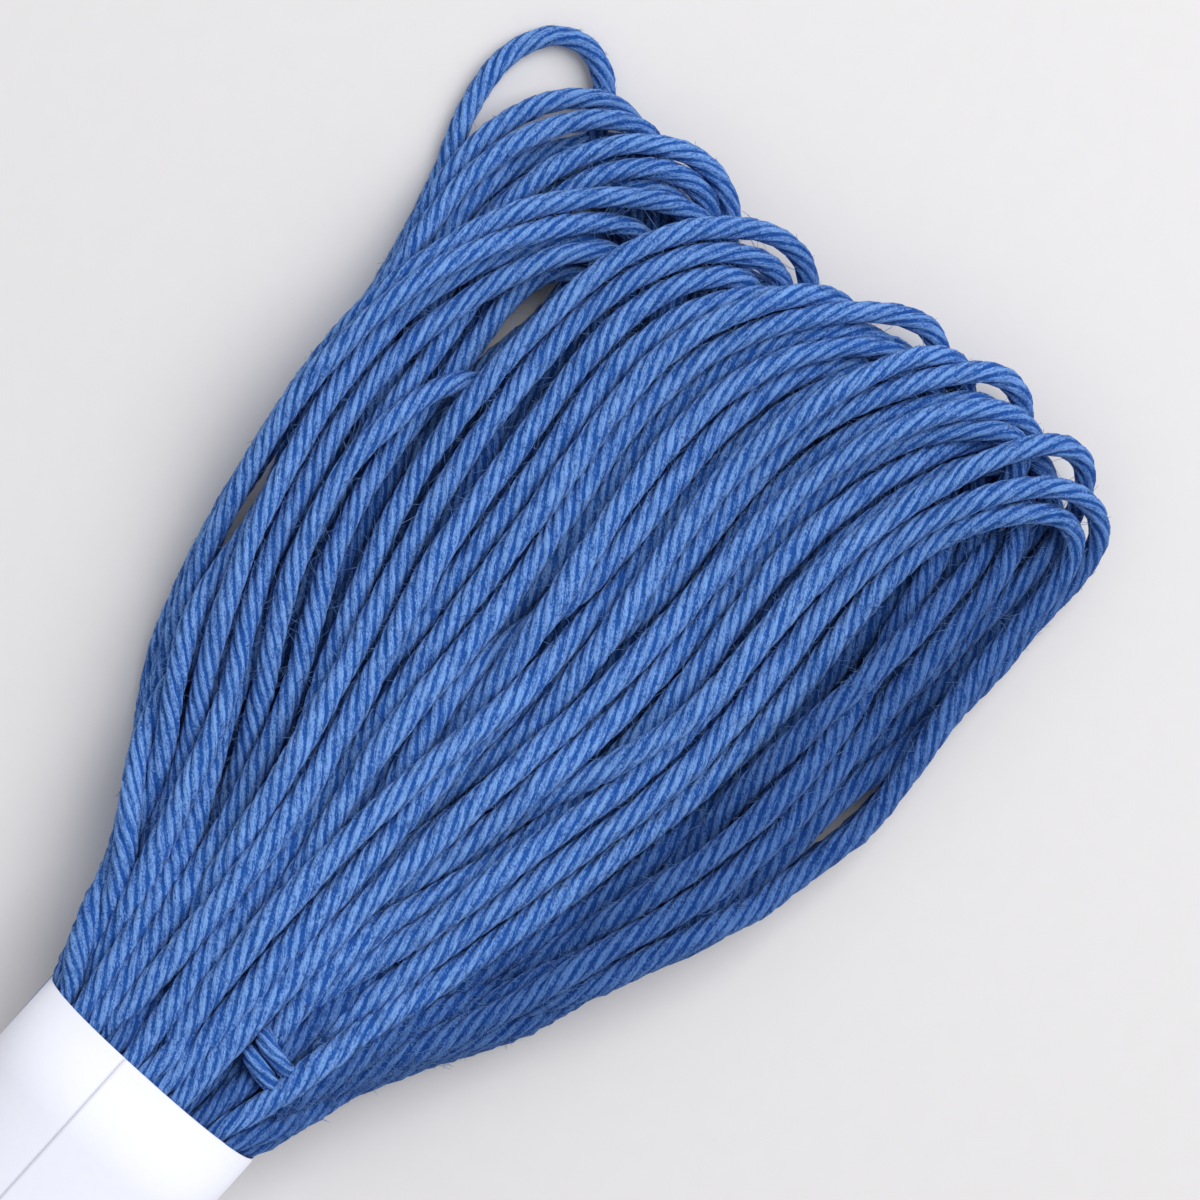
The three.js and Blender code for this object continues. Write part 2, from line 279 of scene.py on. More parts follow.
def across_at(along, share):
    """Place across for a share of the fan's width, from -1 at its left edge to 1 at its right."""
    left = curve_through(FAN_ALONG, FAN_LEFT, along)
    right = curve_through(FAN_ALONG, FAN_RIGHT, along)
    return -left + (left + right) * (share + 1) / 2


def share_at(along, across):
    """Share of the fan's width at a place, the inverse of across_at."""
    left = curve_through(FAN_ALONG, FAN_LEFT, along)
    right = curve_through(FAN_ALONG, FAN_RIGHT, along)
    return 2 * (across + left) / (left + right) - 1


# Points of a loop's middle line, and the distance over which strands leave their slots and swell.
NODES = 168
MOUTH_EASE = 9

# Hidden loops of the base and core: share of the width where the last one lies, and how far they may
# end short of the tip edge. Then the share of the first, how far they stray, and where that is taken.
BASE_DECK = {"rightmost": 0.62, "shortest": 0.7, "longest": 3.0}
CORE_DECK = {"rightmost": 0.42, "shortest": 0.5, "longest": 2.4}
HIDDEN_LEFT = -0.95
HIDDEN_STRAY = 0.02
HIDDEN_CREST = 39.0

# The bend of a hidden loop: how far it moves to the right, and no farther than where, the share of the
# move at which the tip edge is looked up, how long the bend is, how far before the crest its shoulder
# and dive lie, and shares of the move at the shoulder and crest.
SHIFT = 6.5
RIGHT_RETURN = 13.6
TIP_LOOK = 0.7
BEND_LENGTH = (8, 11)
SHOULDER_BACK = 3.2
DIVE_BACK = 1.2
SHOULDER_SHARE = 0.15
CREST_SHARE = 0.6

# Strands in the mouth: spacing in a row and between rows, gap to the band's outside, share of the
# height that is filled, how far they stray, and the margin of the outline that gives their depth.
MOUTH_SPACING = 1.04
MOUTH_ROWS = 0.88
MOUTH_WALL = 0.56
MOUTH_FILL = 0.97
SLOT_STRAY = 0.04
SLOT_MARGIN = 0.3


def deck_loops(count, rightmost, shortest, longest, chance):
    """Bends of a deck of hidden loops, spread over the fan, each a random length short of the tip edge."""
    shares = np.linspace(HIDDEN_LEFT, rightmost, count) + chance.uniform(-HIDDEN_STRAY, HIDDEN_STRAY, count)
    crest_across = across_at(np.full(count, HIDDEN_CREST), shares) + TIP_LOOK * SHIFT
    crest_along = np.interp(crest_across, TIP_ACROSS, TIP_ALONG) - chance.uniform(shortest, longest, count)
    start_along = crest_along - chance.uniform(*BEND_LENGTH, count)
    start_across = across_at(start_along, shares)
    shift = np.minimum(SHIFT, RIGHT_RETURN - start_across)
    shoulder = np.stack([crest_along - SHOULDER_BACK, start_across + SHOULDER_SHARE * shift], axis=1)
    crest = np.stack([crest_along, start_across + CREST_SHARE * shift], axis=1)
    dive = np.stack([crest_along - DIVE_BACK, start_across + shift], axis=1)
    return np.stack([np.stack([start_along, start_across], axis=1), shoulder, crest, dive], axis=1)


def mouth_slots(count, chance):
    """Places of the strands in the mouth: rows from the top down that fill the band's superellipse."""
    half_width = (BAND_HIGH[1] - BAND_LOW[1]) / 2 - MOUTH_WALL
    half_height = BAND_MIDDLE - MOUTH_WALL
    spacing = 2 * thread_radius(0.0) * MOUTH_SPACING
    rows = int(2 * half_height / (MOUTH_ROWS * spacing)) + 1
    slots = []
    for height in np.linspace(1, -1, rows) * half_height * MOUTH_FILL:
        reach = half_width * arch(height / half_height, BAND_SQUARENESS)
        across = np.linspace(-reach, reach, int(2 * reach / spacing) + 1)
        slots.append(np.stack([across, np.full(len(across), BAND_MIDDLE + height)], axis=1))
    slots = np.concatenate(slots)
    if len(slots) < count:
        raise ValueError(f"the band has room for {len(slots)} strands and not {count}")
    return slots[:count] + chance.uniform(-SLOT_STRAY, SLOT_STRAY, (count, 2))


def deal_slots(slots, shares, decks):
    """Gives each leg its slot: decks by depth below the section's top outline, and left to right in a deck.

    The first half of the shares are legs that go out and the second half come back, and of two neighbours
    of both kinds the one that goes out has the higher slot.
    """
    half_width = np.abs(slots[:, 0]).max() + SLOT_MARGIN
    outline = BAND_MIDDLE * arch(slots[:, 0] / half_width, BAND_SQUARENESS)
    by_depth = np.argsort(outline - (slots[:, 1] - BAND_MIDDLE))
    loops = len(decks)
    dealt = np.empty_like(slots)
    taken = 0
    for deck in (2, 1, 0):
        loop = np.flatnonzero(decks == deck)
        legs = np.concatenate([loop, loop + loops])
        legs = legs[np.argsort(shares[legs])]
        members = by_depth[taken : taken + len(legs)]
        taken += len(legs)
        members = members[np.argsort(slots[members, 0])]
        for first in range(0, len(legs) - 1, 2):
            pair = members[first : first + 2]
            if (legs[first] < loops) != (slots[pair[0], 1] > slots[pair[1], 1]):
                members[first : first + 2] = pair[::-1]
        dealt[legs] = slots[members]
    return dealt


# A leg that has one share of the width at its bend has another near the mouth. Out legs flare, and are
# shuffled unless they lie at an edge, and return legs drift to the right, up to a last share.
FLARE_FAR = [-1, -0.9, -0.75, -0.34, 0.27, 0.66, 1]
FLARE_NEAR = [-0.98, -0.8, -0.5, -0.17, 0.22, 0.74, 1]
FLARE_FROM = 8
FLARE_LENGTH = 20
SHUFFLE = 0.05
SHUFFLE_WITHIN = 0.85
DRIFT = 0.16
DRIFT_END = 0.97

# Share of the width by which a return leg moves to the right, and the places across where that ends.
RETURN_SHIFT = 0.09
RETURN_END = [10, 13]

# How much of its reach a loop loses as it settles, and how many nodes past its dive it has turned fully.
LOOP_SLACK = 0.4
TURN_NODES = 6

# Places of a leg are this far apart, and stop short of its bend and its dive.
LEG_STEP = 4.0
SHORT_OF_BEND = 2
SHORT_OF_DIVE = 4

# A leg's slow and quick waves: their mean height, bounds of their lengths, and how they fade in and out.
SWAY = 0.4
SWAY_LENGTH = (4.5, 8)
QUIVER = 0.2
QUIVER_LENGTH = (2, 3.2)
WAVE_IN = 14
WAVE_END = 38
WAVE_OUT = 10


def leg_plan(run, near, far, slot, waves):
    """Places of a leg at distances along, from its slot over its near share of the width to its far share.

    The sum of two sine waves is added, and the leg stays within the fan.
    """
    sway, swing, slow, quiver, quick = waves
    wave = sway * np.sin(run / slow + swing) + quiver * np.sin(run / quick + swing)
    wave = wave * ramp(run / WAVE_IN) * ramp((WAVE_END - run) / WAVE_OUT)
    share = near + (far - near) * ramp((run - FLARE_FROM) / FLARE_LENGTH)
    slot_share = share_at(0.0, slot)
    across = across_at(run, slot_share + (share - slot_share) * ramp(run / MOUTH_EASE)) + wave
    return np.stack([run, np.clip(across, across_at(run, -1), across_at(run, 1))], axis=1)


def plan_fan(chance, looseness):
    """Plan of every loop of a fan, as along and across, how far it turned, its legs' slots and its deck.

    An out leg runs from its share of the fan's width near the mouth to its share at the bend, passes its
    shoulder, crest and dive, and comes back near the share where it dived, so each loop lies over its
    left neighbours.
    """
    thread = settings().thread
    base = deck_loops(thread.base_loops, **BASE_DECK, chance=chance)
    core = deck_loops(thread.core_loops, **CORE_DECK, chance=chance)
    crown = CROWN_LOOPS + chance.normal(0, looseness, CROWN_LOOPS.shape)
    bends = np.concatenate([base, core, crown])
    bends[:, 2:, 0] += LOOP_SLACK
    loops = len(bends)
    decks = np.repeat([0, 1, 2], [len(base), len(core), len(crown)])
    out = share_at(bends[:, 0, 0], bends[:, 0, 1])
    back = share_at(bends[:, 3, 0], bends[:, 3, 1])
    back = back + RETURN_SHIFT * np.interp(bends[:, 3, 1], RETURN_END, [1, 0])
    far = np.concatenate([out, back])
    shuffle = chance.normal(0, SHUFFLE, loops) * (np.abs(out) < SHUFFLE_WITHIN)
    near_out = np.interp(out, FLARE_FAR, FLARE_NEAR) + shuffle
    near = np.concatenate([near_out, np.clip(back + DRIFT, -1, DRIFT_END)])
    slots = deal_slots(mouth_slots(2 * loops, chance), near, decks)
    plans = []
    for loop, bend in enumerate(bends):
        run_out = np.arange(0, bend[0, 0] - SHORT_OF_BEND, LEG_STEP)
        run_back = np.arange(0, bend[3, 0] - SHORT_OF_DIVE, LEG_STEP)[::-1]
        sway = chance.normal(0, SWAY, 2)
        swing = chance.uniform(0, 2 * math.pi, 2)
        slow = chance.uniform(*SWAY_LENGTH, 2)
        quiver = chance.normal(0, QUIVER, 2)
        quick = chance.uniform(*QUIVER_LENGTH, 2)
        legs = []
        waves = np.stack([sway, swing, slow, quiver, quick], axis=1)
        for row, run, leg_waves in zip((loop, loop + loops), (run_out, run_back), waves):
            legs.append(leg_plan(run, near[row], far[row], slots[row, 0], leg_waves))
        plans.append(even_path(np.concatenate([legs[0], bend, legs[1]]), NODES))
    plans = np.array(plans)
    first, last = (np.linalg.norm(plans - bends[:, None, bend], axis=2).argmin(axis=1) for bend in (0, 3))
    turned = ramp((np.arange(NODES) - first[:, None]) / (last - first + TURN_NODES)[:, None])
    return plans, turned, slots[:loops], slots[loops:], decks


def thread_radius(along):
    """Radius of the thread: squeezed in the band, and full once it has left the mouth."""
    thread = settings().thread
    full = thread.diameter / MM / 2
    return full * (thread.squeezed + (1 - thread.squeezed) * ramp(along / MOUTH_EASE))


# Room that hidden strands keep, as a share of their radius, where along the fan room is made, and the place
# across from which return legs lie open.
HIDDEN_ROOM = 0.95
ROOM_FROM = 2
ROOM_EASE = 14
OPEN_EDGE = 9.0
OPEN_EASE = 2

# Layers in the fan, and the level of an out leg in its deck. A return leg lies one layer lower.
LAYERS = 6
OUT_LEVEL = 1.5
WIDEST_SHARE = 0.99

# Some crown loops leave the left edge early and cross over the longer loops there, and the last loops
# on the right lie over those on their left. They start higher by these lifts, from a place along.
CROSSING = slice(7, 12)
CROSSING_LIFT = 0.9
EDGE_LOOPS = 3
EDGE_LIFT = 0.8
LIFT_FROM = 16
LIFT_EASE = 8


def strand_room(plans, turned, decks):
    """Radius that each strand keeps free: more than its own on top of the fan, and a little less inside it.

    The out legs of the crown lie on top, and so do its return legs at the right edge, where no out leg is.
    """
    along, across = plans[..., 0], plans[..., 1]
    edge = ramp((across - OPEN_EDGE) / OPEN_EASE)
    on_top = np.maximum(1 - turned, edge) * (decks == 2)[:, None]
    free = HIDDEN_ROOM + (settings().thread.room - HIDDEN_ROOM) * on_top
    return thread_radius(along) * (1 + (free - 1) * ramp((along - ROOM_FROM) / ROOM_EASE))


def layer_heights(plans, turned, slots_out, slots_back, decks, tied):
    """First heights of the strands, before they settle.

    Each deck holds two layers, the out legs over the return legs, and a loop sinks from one to the other
    as it turns. A layer's height is its share of the fan's height, which is a superellipse across the fan,
    and near the mouth the strands run into their slots. Those inside the tie start below its upper strands.
    """
    along, across = plans[..., 0], plans[..., 1]
    radius = thread_radius(along)
    share = share_at(along.ravel(), across.ravel()).reshape(along.shape)
    share = np.clip(share, -WIDEST_SHARE, WIDEST_SHARE)
    top = curve_through(FAN_ALONG, FAN_TOP, along.ravel()).reshape(along.shape)
    top = top * arch(share, FAN_SQUARENESS)
    level = (2 * decks[:, None] + OUT_LEVEL - turned) / LAYERS
    lift = np.zeros(len(decks))
    lift[np.flatnonzero(decks == 2)[CROSSING]] = CROSSING_LIFT
    lift[-EDGE_LOOPS:] = EDGE_LIFT
    height = radius + level * np.maximum(top - 2 * radius, 0)
    height = height + lift[:, None] * ramp((along - LIFT_FROM) / LIFT_EASE) * (1 - turned)
    returning = np.arange(plans.shape[1]) > plans.shape[1] / 2
    slot = np.where(returning, slots_back[:, 1:], slots_out[:, 1:])
    height = slot + (height - slot) * ramp(along / MOUTH_EASE)
    if not tied:
        return height
    one, other = tie_rounds()
    inside = (across > one[:, 1].min()) & (across < one[:, 1].max())
    away = np.maximum(np.abs(along - (one[:, 0].mean() + other[:, 0].mean()) / 2) - TIE_APART - radius, 0)
    upper = one[one[:, 2] > one[:, 2].mean()]
    upper = upper[np.argsort(upper[:, 1])]
    pressed = np.interp(across, upper[:, 1], upper[:, 2]) - 2 * radius + TIE_RISE * away
    return np.where(inside, np.minimum(height, pressed), height)


def near_pairs(places, reach):
    """Pairs of points within reach of each other, found by sorting the points into cells of that size."""
    cell = np.floor((places - places.min(axis=0)) / reach).astype(np.int64) + 1
    size = cell.max(axis=0) + 2
    key = (cell[:, 0] * size[1] + cell[:, 1]) * size[2] + cell[:, 2]
    order = np.argsort(key, kind="stable")
    key = key[order]
    found = []
    for step in np.ndindex(3, 3, 3):
        move = np.array(step) - 1
        if tuple(move) < (0, 0, 0):
            continue
        other = key + (move[0] * size[1] + move[1]) * size[2] + move[2]
        first = np.searchsorted(key, other, "left")
        count = np.searchsorted(key, other, "right") - first
        left = np.repeat(np.arange(len(key)), count)
        right = np.arange(len(left)) + np.repeat(first - (np.cumsum(count) - count), count)
        if not move.any():
            apart = left < right
            left, right = left[apart], right[apart]
        found.append(np.stack([order[left], order[right]]))
    pairs = np.concatenate(found, axis=1)
    gap = places[pairs[0]] - places[pairs[1]]
    return pairs[:, (gap * gap).sum(axis=1) < reach * reach]


# Places, along and across, where the floor shows between the strands, each kept open by a post of a radius
# as the strands settle: the hole at the left, the left and right edges, and the loops of the tip.
HOLES = np.array([
    [32.3, -9.05, 0.12], [32.9, -9.15, 0.3], [33.5, -9.15, 0.4], [34.1, -8.95, 0.25],
    [18.4, -12.2, 0.3], [19.6, -12.5, 0.35], [20.8, -12.8, 0.35], [22.0, -13.0, 0.3],
    [21.0, 13.2, 0.28], [22.5, 13.6, 0.33], [24.0, 13.85, 0.37], [25.5, 14.0, 0.38], [26.8, 14.05, 0.27],
    [40.5, -3.8, 0.12], [40.9, -3.1, 0.15], [42.0, 2.7, 0.16], [42.3, 3.4, 0.2],
    [42.8, 7.4, 0.24], [42.1, 11.3, 0.2], [40.9, 13.6, 0.05],
])
POST_LEVELS = np.arange(0.3, 6, 0.4)

# Settling: rounds, those over which the strands swell from a share of their size, and how often pairs
# are looked for, with a margin. Then weight, room over the floor, pull to the plan by deck and in the
# turn of a crown loop, strength, depth and length of a push, and stiffness by the nodes it spans.
ROUNDS = 320
SWELLING = 200
SWOLLEN_FROM = 0.5
LOOK_AGAIN = 6
LOOK_MARGIN = 0.15
WEIGHT = 0.008
FLOOR_ROOM = 1.13
DECK_PULL = np.array([0.01, 0.01, 0.03])
TURN_PULL = 0.5
PUSH = 0.35
DEEPEST_PUSH = 0.2
LONGEST_PUSH = 0.15
STIFFNESS = {1: 0.4, 3: 0.25, 5: 0.08}

# Points nearer the mouth than this are held, and nodes of a loop nearer than this don't push each other.
HELD = 0.3
NEIGHBOURS = 4


def settle(paths, radius, pull, fixed_points, fixed_radii):
    """Settles the strands: they push each other apart, stay smooth and as long as they were, and sink.

    Each round moves the points down a little and back towards their plan, pushes apart each pair that is
    closer than two radii, restores the length between neighbours, and takes out sharp kinks.
    """
    loops, nodes = paths.shape[:2]
    plan = paths[..., :2].copy()
    link = np.linalg.norm(np.diff(paths, axis=1), axis=2, keepdims=True)
    floor = thread_radius(paths[..., 0]) * FLOOR_ROOM
    held = paths[..., 0] < HELD
    home = paths[held]
    count = loops * nodes
    sizes = np.concatenate([radius.ravel(), fixed_radii])
    owner = np.concatenate([np.repeat(np.arange(loops), nodes), np.full(len(fixed_points), -1)])
    place_in = np.concatenate([np.tile(np.arange(nodes), loops), np.zeros(len(fixed_points), int)])
    widest = 2 * radius.max()
    for turn in range(ROUNDS):
        paths[..., 2] -= WEIGHT
        paths[..., :2] += pull[..., None] * (plan - paths[..., :2])
        flat = np.concatenate([paths.reshape(-1, 3), fixed_points])
        if turn % LOOK_AGAIN == 0:
            left, right = near_pairs(flat, widest + LOOK_MARGIN)
            same = (owner[left] == owner[right]) & (np.abs(place_in[left] - place_in[right]) < NEIGHBOURS)
            left, right = left[~same], right[~same]
            touch = sizes[left] + sizes[right]
        swollen = SWOLLEN_FROM + (1 - SWOLLEN_FROM) * min(1, turn / SWELLING)
        gap = flat[left] - flat[right]
        apart = np.sqrt((gap * gap).sum(axis=1)) + 1e-9
        push = np.clip(swollen * touch - apart, 0, DEEPEST_PUSH) * PUSH / apart
        move = gap * push[:, None]
        for axis in range(3):
            one_way, other_way = (np.bincount(side, move[:, axis], len(flat)) for side in (left, right))
            shift = np.clip((one_way - other_way)[:count], -LONGEST_PUSH, LONGEST_PUSH)
            paths[..., axis] += shift.reshape(loops, nodes)
        for first in (0, 1):
            near_end = paths[:, first:-1:2]
            far_end = paths[:, first + 1 :: 2]
            span = far_end - near_end
            length = np.linalg.norm(span, axis=2, keepdims=True)
            mend = 0.5 * (1 - link[:, first::2] / length) * span
            near_end += mend
            far_end -= mend
        for span, stiffness in STIFFNESS.items():
            bend = np.zeros_like(paths)
            bend[:, span:-span] = (paths[:, : -2 * span] + paths[:, 2 * span :]) / 2 - paths[:, span:-span]
            even = (bend[:, : -2 * span] + bend[:, 2 * span :]) / 2
            paths[:, span:-span] += stiffness * (bend[:, span:-span] - even)
        leftmost = np.minimum(-np.interp(paths[..., 0], FAN_ALONG, FAN_LEFT), plan[..., 1])
        rightmost = np.maximum(np.interp(paths[..., 0], FAN_ALONG, FAN_RIGHT), plan[..., 1])
        paths[..., 1] = np.clip(paths[..., 1], leftmost, rightmost)
        paths[..., 2] = np.maximum(paths[..., 2], floor)
        paths[held] = home
    return paths


# The tie is drawn thinner than the loose thread, its right-hand bend is tucked in, its top is sunk and
# falls to the right, and its strands lie apart and ahead of its solid, and slanted. The hank rises away
# from it. Then its ring's power and points, its tubes' rings and turns, the cover that paints shade on it
# all round, and the room it takes.
TIE_DRAWN = 0.82
TIE_TUCK = 1.9
TIE_SINK = 0.62
TIE_FALL = 0.35
TIE_APART = 0.4
TIE_AHEAD = 0.1
TIE_SLANT = -0.28
TIE_RISE = 0.45
TIE_SQUARENESS = 4
TIE_NODES = 48
TIE_RINGS = 90
TIE_TURNS = np.array([0.4, 2.9])
TIE_PAINTED_SHADE = 0.6
TIE_ROOM = 0.7


def tie_radius():
    """Radius of the tie's drawn thread."""
    return settings().thread.diameter / MM / 2 * TIE_DRAWN


def tie_rounds():
    """Middle lines of the tie's two strands: flat rings side by side round the right-hand part of the hank.

    The ring is a superellipse whose upper half falls to the right, and it is slanted along the skein.
    """
    radius = tie_radius()
    along = (TIE_LOW[0] + TIE_HIGH[0]) / 2 - MOUTH
    left, right = MIDLINE - TIE_HIGH[1] + radius, MIDLINE - TIE_LOW[1] - radius - TIE_TUCK
    low, high = TIE_LOW[2] + radius, TIE_HIGH[2] - radius - TIE_SINK
    half_height = (high - low) / 2
    ring, _ = superellipse((right - left) / 2, half_height, TIE_SQUARENESS, TIE_NODES + 1)
    ring = np.roll(ring[:-1], TIE_NODES // 2, axis=0)
    across = (left + right) / 2 + ring[:, 0]
    fall = TIE_FALL * (across - left) * np.maximum(ring[:, 1] / half_height, 0)
    height = (low + high) / 2 + ring[:, 1] - fall
    slanted = along + TIE_AHEAD + TIE_SLANT * ring[:, 0]
    return [np.stack([slanted + side, across, height], axis=1) for side in (-TIE_APART, TIE_APART)]


@functools.lru_cache(maxsize=2)
def fan_strands(end):
    """Settled middle lines of a fan's loops, as along, across and height, their decks and their turn."""
    chance = np.random.default_rng(SEEDS[end]["winding"])
    plans, turned, *slots, decks = plan_fan(chance, LOOSENESS[end])
    heights = layer_heights(plans, turned, *slots, decks, end == "front")
    paths = np.concatenate([plans, heights[..., None]], axis=2)
    pull = DECK_PULL[decks][:, None] + TURN_PULL * turned * (1 - turned) * (decks == 2)[:, None]
    levels = len(POST_LEVELS)
    posts = np.column_stack([np.repeat(HOLES[:, :2], levels, axis=0), np.tile(POST_LEVELS, len(HOLES))])
    rounds = np.concatenate(tie_rounds() if end == "front" else [np.zeros((0, 3))])
    fixed = np.concatenate([posts, rounds])
    tie_room = np.full(len(rounds), tie_radius() * TIE_ROOM)
    fixed_radii = np.concatenate([np.repeat(HOLES[:, 2], levels), tie_room])
    return settle(paths, strand_room(plans, turned, decks), pull, fixed, fixed_radii), decks, turned


# Distance from the mouth over which the back fan swings to the far side of the frame's middle.
SWING_LENGTH = 30


def in_frame(paths, end):
    """Puts along, across and height into the frame, with the back fan turned half round and swung over."""
    way = {"front": 1, "back": -1}[end]
    along, across, height = np.moveaxis(paths, -1, 0)
    swing = (way - 1) * MIDLINE * ramp(along / SWING_LENGTH)
    return np.stack([way * (MOUTH + along), MIDLINE + swing - way * across, height], axis=-1)


# How far off another strand still covers a place, and the sum of closeness that covers it fully.
COVER_REACH = 1.5
FULL_COVER = 1.2

# Shares by which the cotton is in the shade: legs that have turned back, and strands at the mouth.
RETURN_SHADE = 0.85
MOUTH_SHADE = 0.22

# Strands are pressed flat up to this place along, and at the left edge only near the mouth.
FLAT_TO = 40
FLAT_ACROSS = -10
FLAT_EASE = 8


def fan_cover(end):
    """How far other strands cover each place of a fan's strands from above, from its sides and from below.

    Each near strand adds its closeness times the square of the cosine between its bearing and the side
    that is looked at, and the sum is a share of full cover.
    """
    paths = in_frame(fan_strands(end)[0], end)
    loops, nodes = paths.shape[:2]
    heading = unit(np.gradient(paths, axis=1)).reshape(-1, 3)
    upward = unit(np.array([0, 0, 1.0]) - heading * heading[:, 2:])
    sides = (upward, np.cross(heading, upward))
    places = paths.reshape(-1, 3)
    pairs = near_pairs(places, COVER_REACH)
    pairs = pairs[:, pairs[0] // nodes != pairs[1] // nodes]
    cover = np.zeros((4, len(places)))
    for one, other in (pairs, pairs[::-1]):
        bearing = places[other] - places[one]
        apart = np.linalg.norm(bearing, axis=1)
        closeness = 1 - apart / COVER_REACH
        for side, axis in enumerate(sides):
            cosine = (bearing * axis[one]).sum(axis=1) / apart
            for sign in (0, 1):
                facing = np.maximum(cosine * (1 - 2 * sign), 0) ** 2
                cover[side + 2 * sign] += np.bincount(one, closeness * facing, len(places))
    return np.moveaxis(np.minimum(cover / FULL_COVER, 1).reshape(4, loops, nodes), 0, -1)


def strand_shade(end):
    """Share by which a fan's strands are shaded: legs turned back, and all of them a little at the mouth."""
    strands, _, turned = fan_strands(end)
    pressed = 1 - ramp(strands[..., 0] / MOUTH_EASE)
    return np.maximum(RETURN_SHADE * turned**4, MOUTH_SHADE * pressed)


def strand_flatness(end):
    """Share by which each place of a fan's strands is pressed flat."""
    along, across, _ = np.moveaxis(fan_strands(end)[0], -1, 0)
    packed = np.maximum(ramp((across - FLAT_ACROSS) / FLAT_EASE), 1 - ramp(along / FLAT_EASE))
    return settings().thread.flatness * packed * ramp((FLAT_TO - along) / FLAT_EASE)


# Unevenness of a strand: waves of its twist, as height, length and times its phase, then the share and
# waves of its plumpness, and the share and wave of its plies, with the turn from side to side.
TWIST_WAVES = ((0.2, 2.6, 3), (0.1, 1.1, 7))
PLUMP = 0.07
PLUMP_WAVES = ((1.3, 5), (3.7, 1))
UNEVEN = 0.05
UNEVEN_LENGTH = 1.1
UNEVEN_TIMES = 9
UNEVEN_TURN = 2.4

# Places of a ply's shoulders, as shares of its width from the groove.
SHOULDERS = (0.3, 0.7)

# Values that a strand's points carry for its material.
STRAND_VALUES = ("tone", "cover", "shaded")


def rings_along(paths, count):
    """Many paths at once as a number of rings, by a cubic through each two nodes and their neighbours."""
    nodes = paths.shape[1]
    at = np.linspace(0, nodes - 1, count)
    cell = np.clip(at.astype(int), 0, nodes - 2)
    share = (at - cell)[None, :, None]
    before, start = paths[:, np.maximum(cell - 1, 0)], paths[:, cell]
    end, after = paths[:, cell + 1], paths[:, np.minimum(cell + 2, nodes - 1)]
    return 0.5 * (
        2 * start
        + (end - before) * share
        + (2 * before - 5 * start + 4 * end - after) * share**2
        + (3 * start - before - 3 * end + after) * share**3
    )


def ply_section():
    """Section of the plied thread: a groove and two shoulders for each ply, as angle and reach."""
    thread = settings().thread
    angle = np.add.outer(np.arange(thread.plies), [0, *SHOULDERS]).ravel() * 2 * math.pi / thread.plies
    return angle, np.tile([1 - thread.groove, 1, 1], thread.plies)


def tubes(middles, radii, section, phases, cover, shaded=0.0, flatness=0.0):
    """Many closed tubes at once: a section carried along each middle line, turning with the plies.

    A ring's points are its middle plus the radius times cosine and sine along the upward and sideways
    normals, and the section turns backwards by a full turn in every pitch, which is a left-handed twist.
    Flatness adds to the sideways reach and takes from the upward reach. A point's cover is the mean of
    the cover from above, beside and below, weighed by the squares of its cosine and sine, and its tone
    tells strands apart.
    """
    angle, reach = section
    strands, rings = middles.shape[:2]
    sides = len(angle)
    phase = phases[:, None]
    heading = unit(np.gradient(middles, axis=1))
    upward = unit(np.array([0, 0, 1.0]) - heading * heading[..., 2:])
    sideways = np.cross(heading, upward)
    lengths = np.linalg.norm(np.diff(middles, axis=1), axis=2)
    run = np.concatenate([np.zeros((strands, 1)), np.cumsum(lengths, axis=1)], axis=1)
    drift = run
    for height, length, times in TWIST_WAVES:
        drift = drift + height * np.sin(run / length + times * phase)
    turn = angle - 2 * math.pi * drift[..., None] / (settings().thread.pitch / MM) + phase[..., None]
    plump = PLUMP
    for length, times in PLUMP_WAVES:
        plump = plump * np.sin(run / length + times * phase)
    uneven = run[..., None] / UNEVEN_LENGTH + UNEVEN_TURN * np.arange(sides) + UNEVEN_TIMES * phase[..., None]
    arm = (radii * (1 + plump))[..., None] * reach * (1 + UNEVEN * np.sin(uneven))
    up_share, side_share = np.cos(turn), np.sin(turn)
    points = middles[:, :, None] + (
        (arm * up_share * (1 - flatness))[..., None] * upward[:, :, None]
        + (arm * side_share * (1 + flatness))[..., None] * sideways[:, :, None]
    )
    facing = np.stack([up_share, side_share, -up_share, -side_share], axis=-1)
    covered = (np.maximum(facing, 0) ** 2 * cover[..., None, :]).sum(axis=-1)
    index = np.arange(strands * rings * sides).reshape(strands, rings, sides)
    following = np.roll(index, -1, axis=2)
    quads = np.stack([index[:, :-1], following[:, :-1], following[:, 1:], index[:, 1:]], axis=-1)
    caps = np.concatenate([index[:, 0, ::-1], index[:, -1]])
    turns = np.append(angle, 2 * math.pi) / (2 * math.pi)
    side, next_side = (np.broadcast_to(place, quads.shape[:3]) for place in (turns[:-1], turns[1:]))
    round_uv = np.stack([side, next_side, next_side, side], axis=-1)
    run_uv = np.broadcast_to(run[:, :, None], (strands, rings, sides))
    length_uv = np.stack([run_uv[:, :-1], run_uv[:, :-1], run_uv[:, 1:], run_uv[:, 1:]], axis=-1)
    quad_uv = np.stack([round_uv, length_uv], axis=-1).reshape(-1, 2)
    return {
        "points": points.reshape(-1, 3),
        "corners": np.concatenate([quads.ravel(), caps.ravel()]),
        "sizes": np.concatenate([np.full(quads.size // 4, 4), np.full(len(caps), sides)]),
        "uv": np.concatenate([quad_uv, np.zeros((caps.size, 2))]),
        "tone": np.repeat(phases / (2 * math.pi), rings * sides),
        "cover": covered.ravel(),
        "shaded": np.repeat(np.broadcast_to(shaded, (strands, rings)).ravel(), sides),
    }


